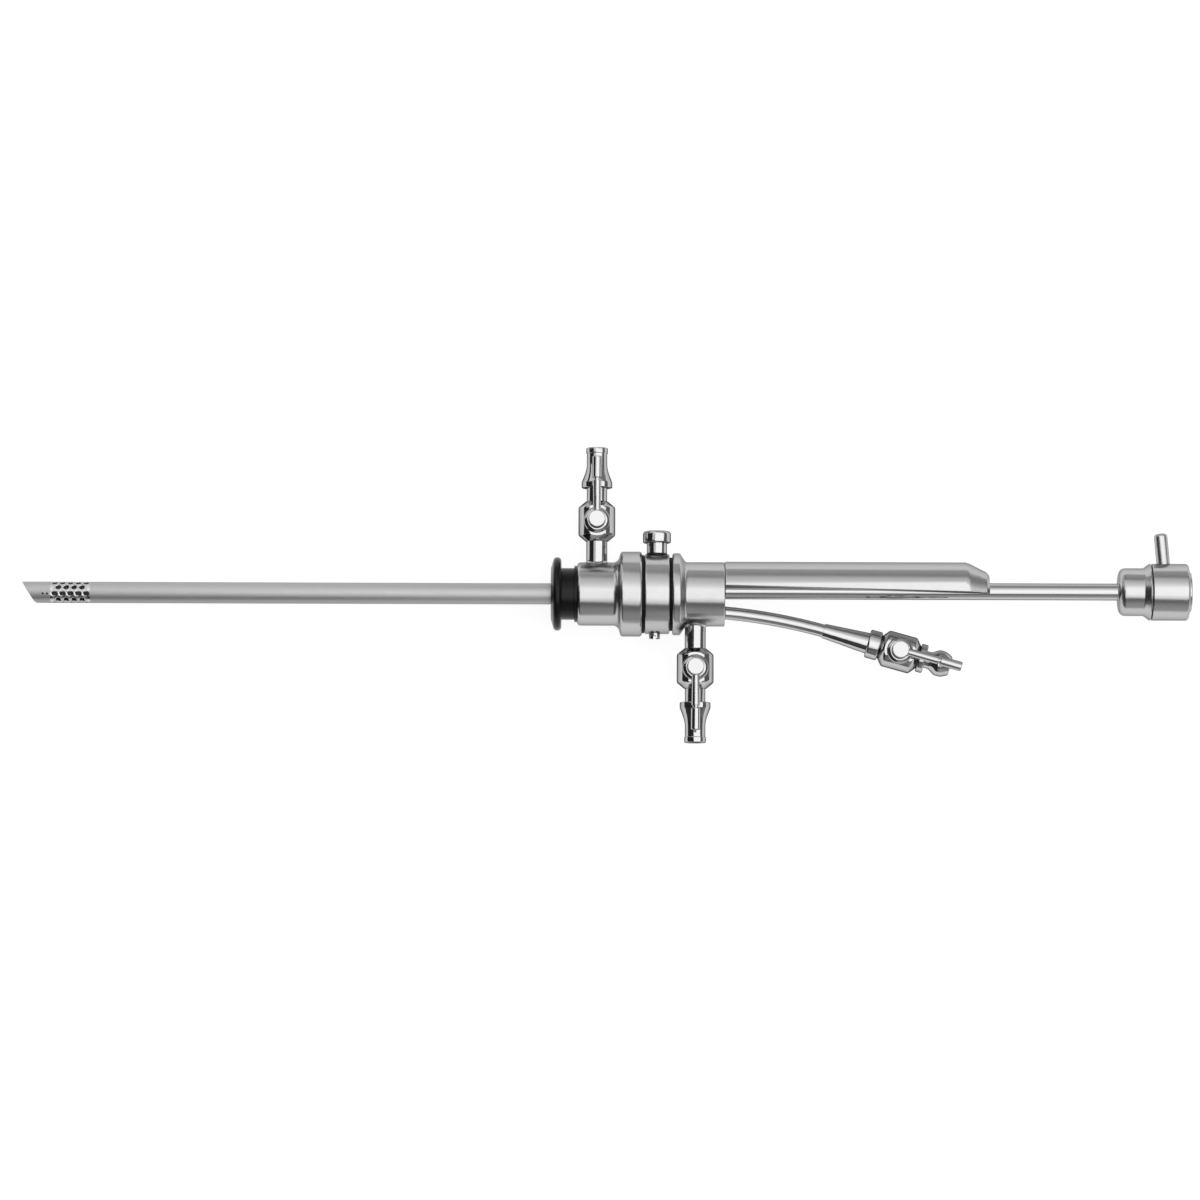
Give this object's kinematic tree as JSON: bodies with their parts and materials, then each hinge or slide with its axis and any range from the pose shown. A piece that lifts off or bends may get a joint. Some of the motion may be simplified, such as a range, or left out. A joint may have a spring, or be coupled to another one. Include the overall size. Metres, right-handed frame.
{
  "type": "hysteroscope sheath",
  "caption": "Continuous-flow operating sheath: long tube with outflow holes, two tapped hubs, press latch, bent instrument channel, half-round grip and bayonet telescope coupling.",
  "frame": {"origin": "centre of the telescope seat at the bottom of the socket in the coupling head, on the telescope axis", "axes": "+X along the telescope axis, out of the socket and away from the tip; +Y towards the grip, the button and the outflow tap; +Z towards the tap levers"},
  "size_m": [0.3117, 0.0788, 0.0226],
  "materials": {
    "satin_steel": "satin, turned and brushed stainless steel",
    "polished_steel": "mirror-polished stainless steel",
    "tube_steel": "fine-polished stainless tube",
    "spring_steel": "plain ground stainless steel",
    "black_plastic": "black, satin moulded plastic",
    "seal_rubber": "black silicone rubber"
  },
  "bodies": {
    "inner_sheath": {"inner_tube": "tube_steel", "lock_housing": "satin_steel", "button_bush": "polished_steel", "inner_hub": "satin_steel", "hub_gasket": "seal_rubber", "guide_tube": "polished_steel", "grip": "satin_steel", "inner_branch_pipe": "polished_steel", "inner_stopcock_body": "polished_steel", "inner_nozzle": "polished_steel", "channel_tube": "polished_steel", "channel_ferrule": "polished_steel", "union_nut": "polished_steel", "port_stopcock_body": "polished_steel", "port_fitting": "polished_steel", "port_seal": "seal_rubber", "head_body": "satin_steel", "telescope_seal": "seal_rubber", "ring_retainer": "spring_steel", "ring_stop_pin": "spring_steel"},
    "outer_sheath": {"outer_tube": "tube_steel", "nose_flange": "black_plastic", "nose_ring": "black_plastic", "outer_hub": "satin_steel", "index_pin": "spring_steel", "hub_o_ring": "seal_rubber", "outer_branch_pipe": "polished_steel", "outer_stopcock_body": "polished_steel", "outer_nozzle": "polished_steel"},
    "outer_tap": {"outer_plug": "polished_steel", "outer_lever": "polished_steel", "outer_spring_washer": "polished_steel", "outer_cap_nut": "polished_steel"},
    "inner_tap": {"inner_plug": "polished_steel", "inner_lever": "polished_steel", "inner_spring_washer": "polished_steel", "inner_cap_nut": "polished_steel"},
    "port_tap": {"port_plug": "polished_steel", "port_lever": "polished_steel", "port_spring_washer": "polished_steel", "port_cap_nut": "polished_steel"},
    "latch": {"release_button": "polished_steel", "lock_slide": "spring_steel", "slide_pin": "polished_steel", "button_spring": "spring_steel"},
    "telescope_lock": {"lock_ring": "satin_steel", "lock_ring_pin": "satin_steel"}
  },
  "joints": [
    {"name": "outer_sheath_slide", "type": "slide", "parent": "inner_sheath", "child": "outer_sheath", "axis": [-1, 0, 0], "range_m": [0, 0.175]},
    {"name": "outer_lever_turn", "type": "hinge", "parent": "outer_sheath", "child": "outer_tap", "pos_m": [-0.1488, 0.01845, 0], "axis": [0, 0, 1], "range_deg": [-90, 90]},
    {"name": "inner_lever_turn", "type": "hinge", "parent": "inner_sheath", "child": "inner_tap", "pos_m": [-0.1225, -0.02085, 0], "axis": [0, 0, 1], "range_deg": [-90, 90]},
    {"name": "port_lever_turn", "type": "hinge", "parent": "inner_sheath", "child": "port_tap", "pos_m": [-0.0682, -0.01622, 0], "axis": [0, 0, 1], "range_deg": [-90, 80]},
    {"name": "release_button_press", "type": "slide", "parent": "inner_sheath", "child": "latch", "axis": [0, -1, 0], "range_m": [0, 0.0014], "stiffness_N_per_m": 1500, "springref_m": -0.0004, "deforming": ["button_spring"]},
    {"name": "telescope_lock_turn", "type": "hinge", "parent": "inner_sheath", "child": "telescope_lock", "pos_m": [0, 0, 0], "axis": [1, 0, 0], "range_deg": [0, 50]}
  ]
}
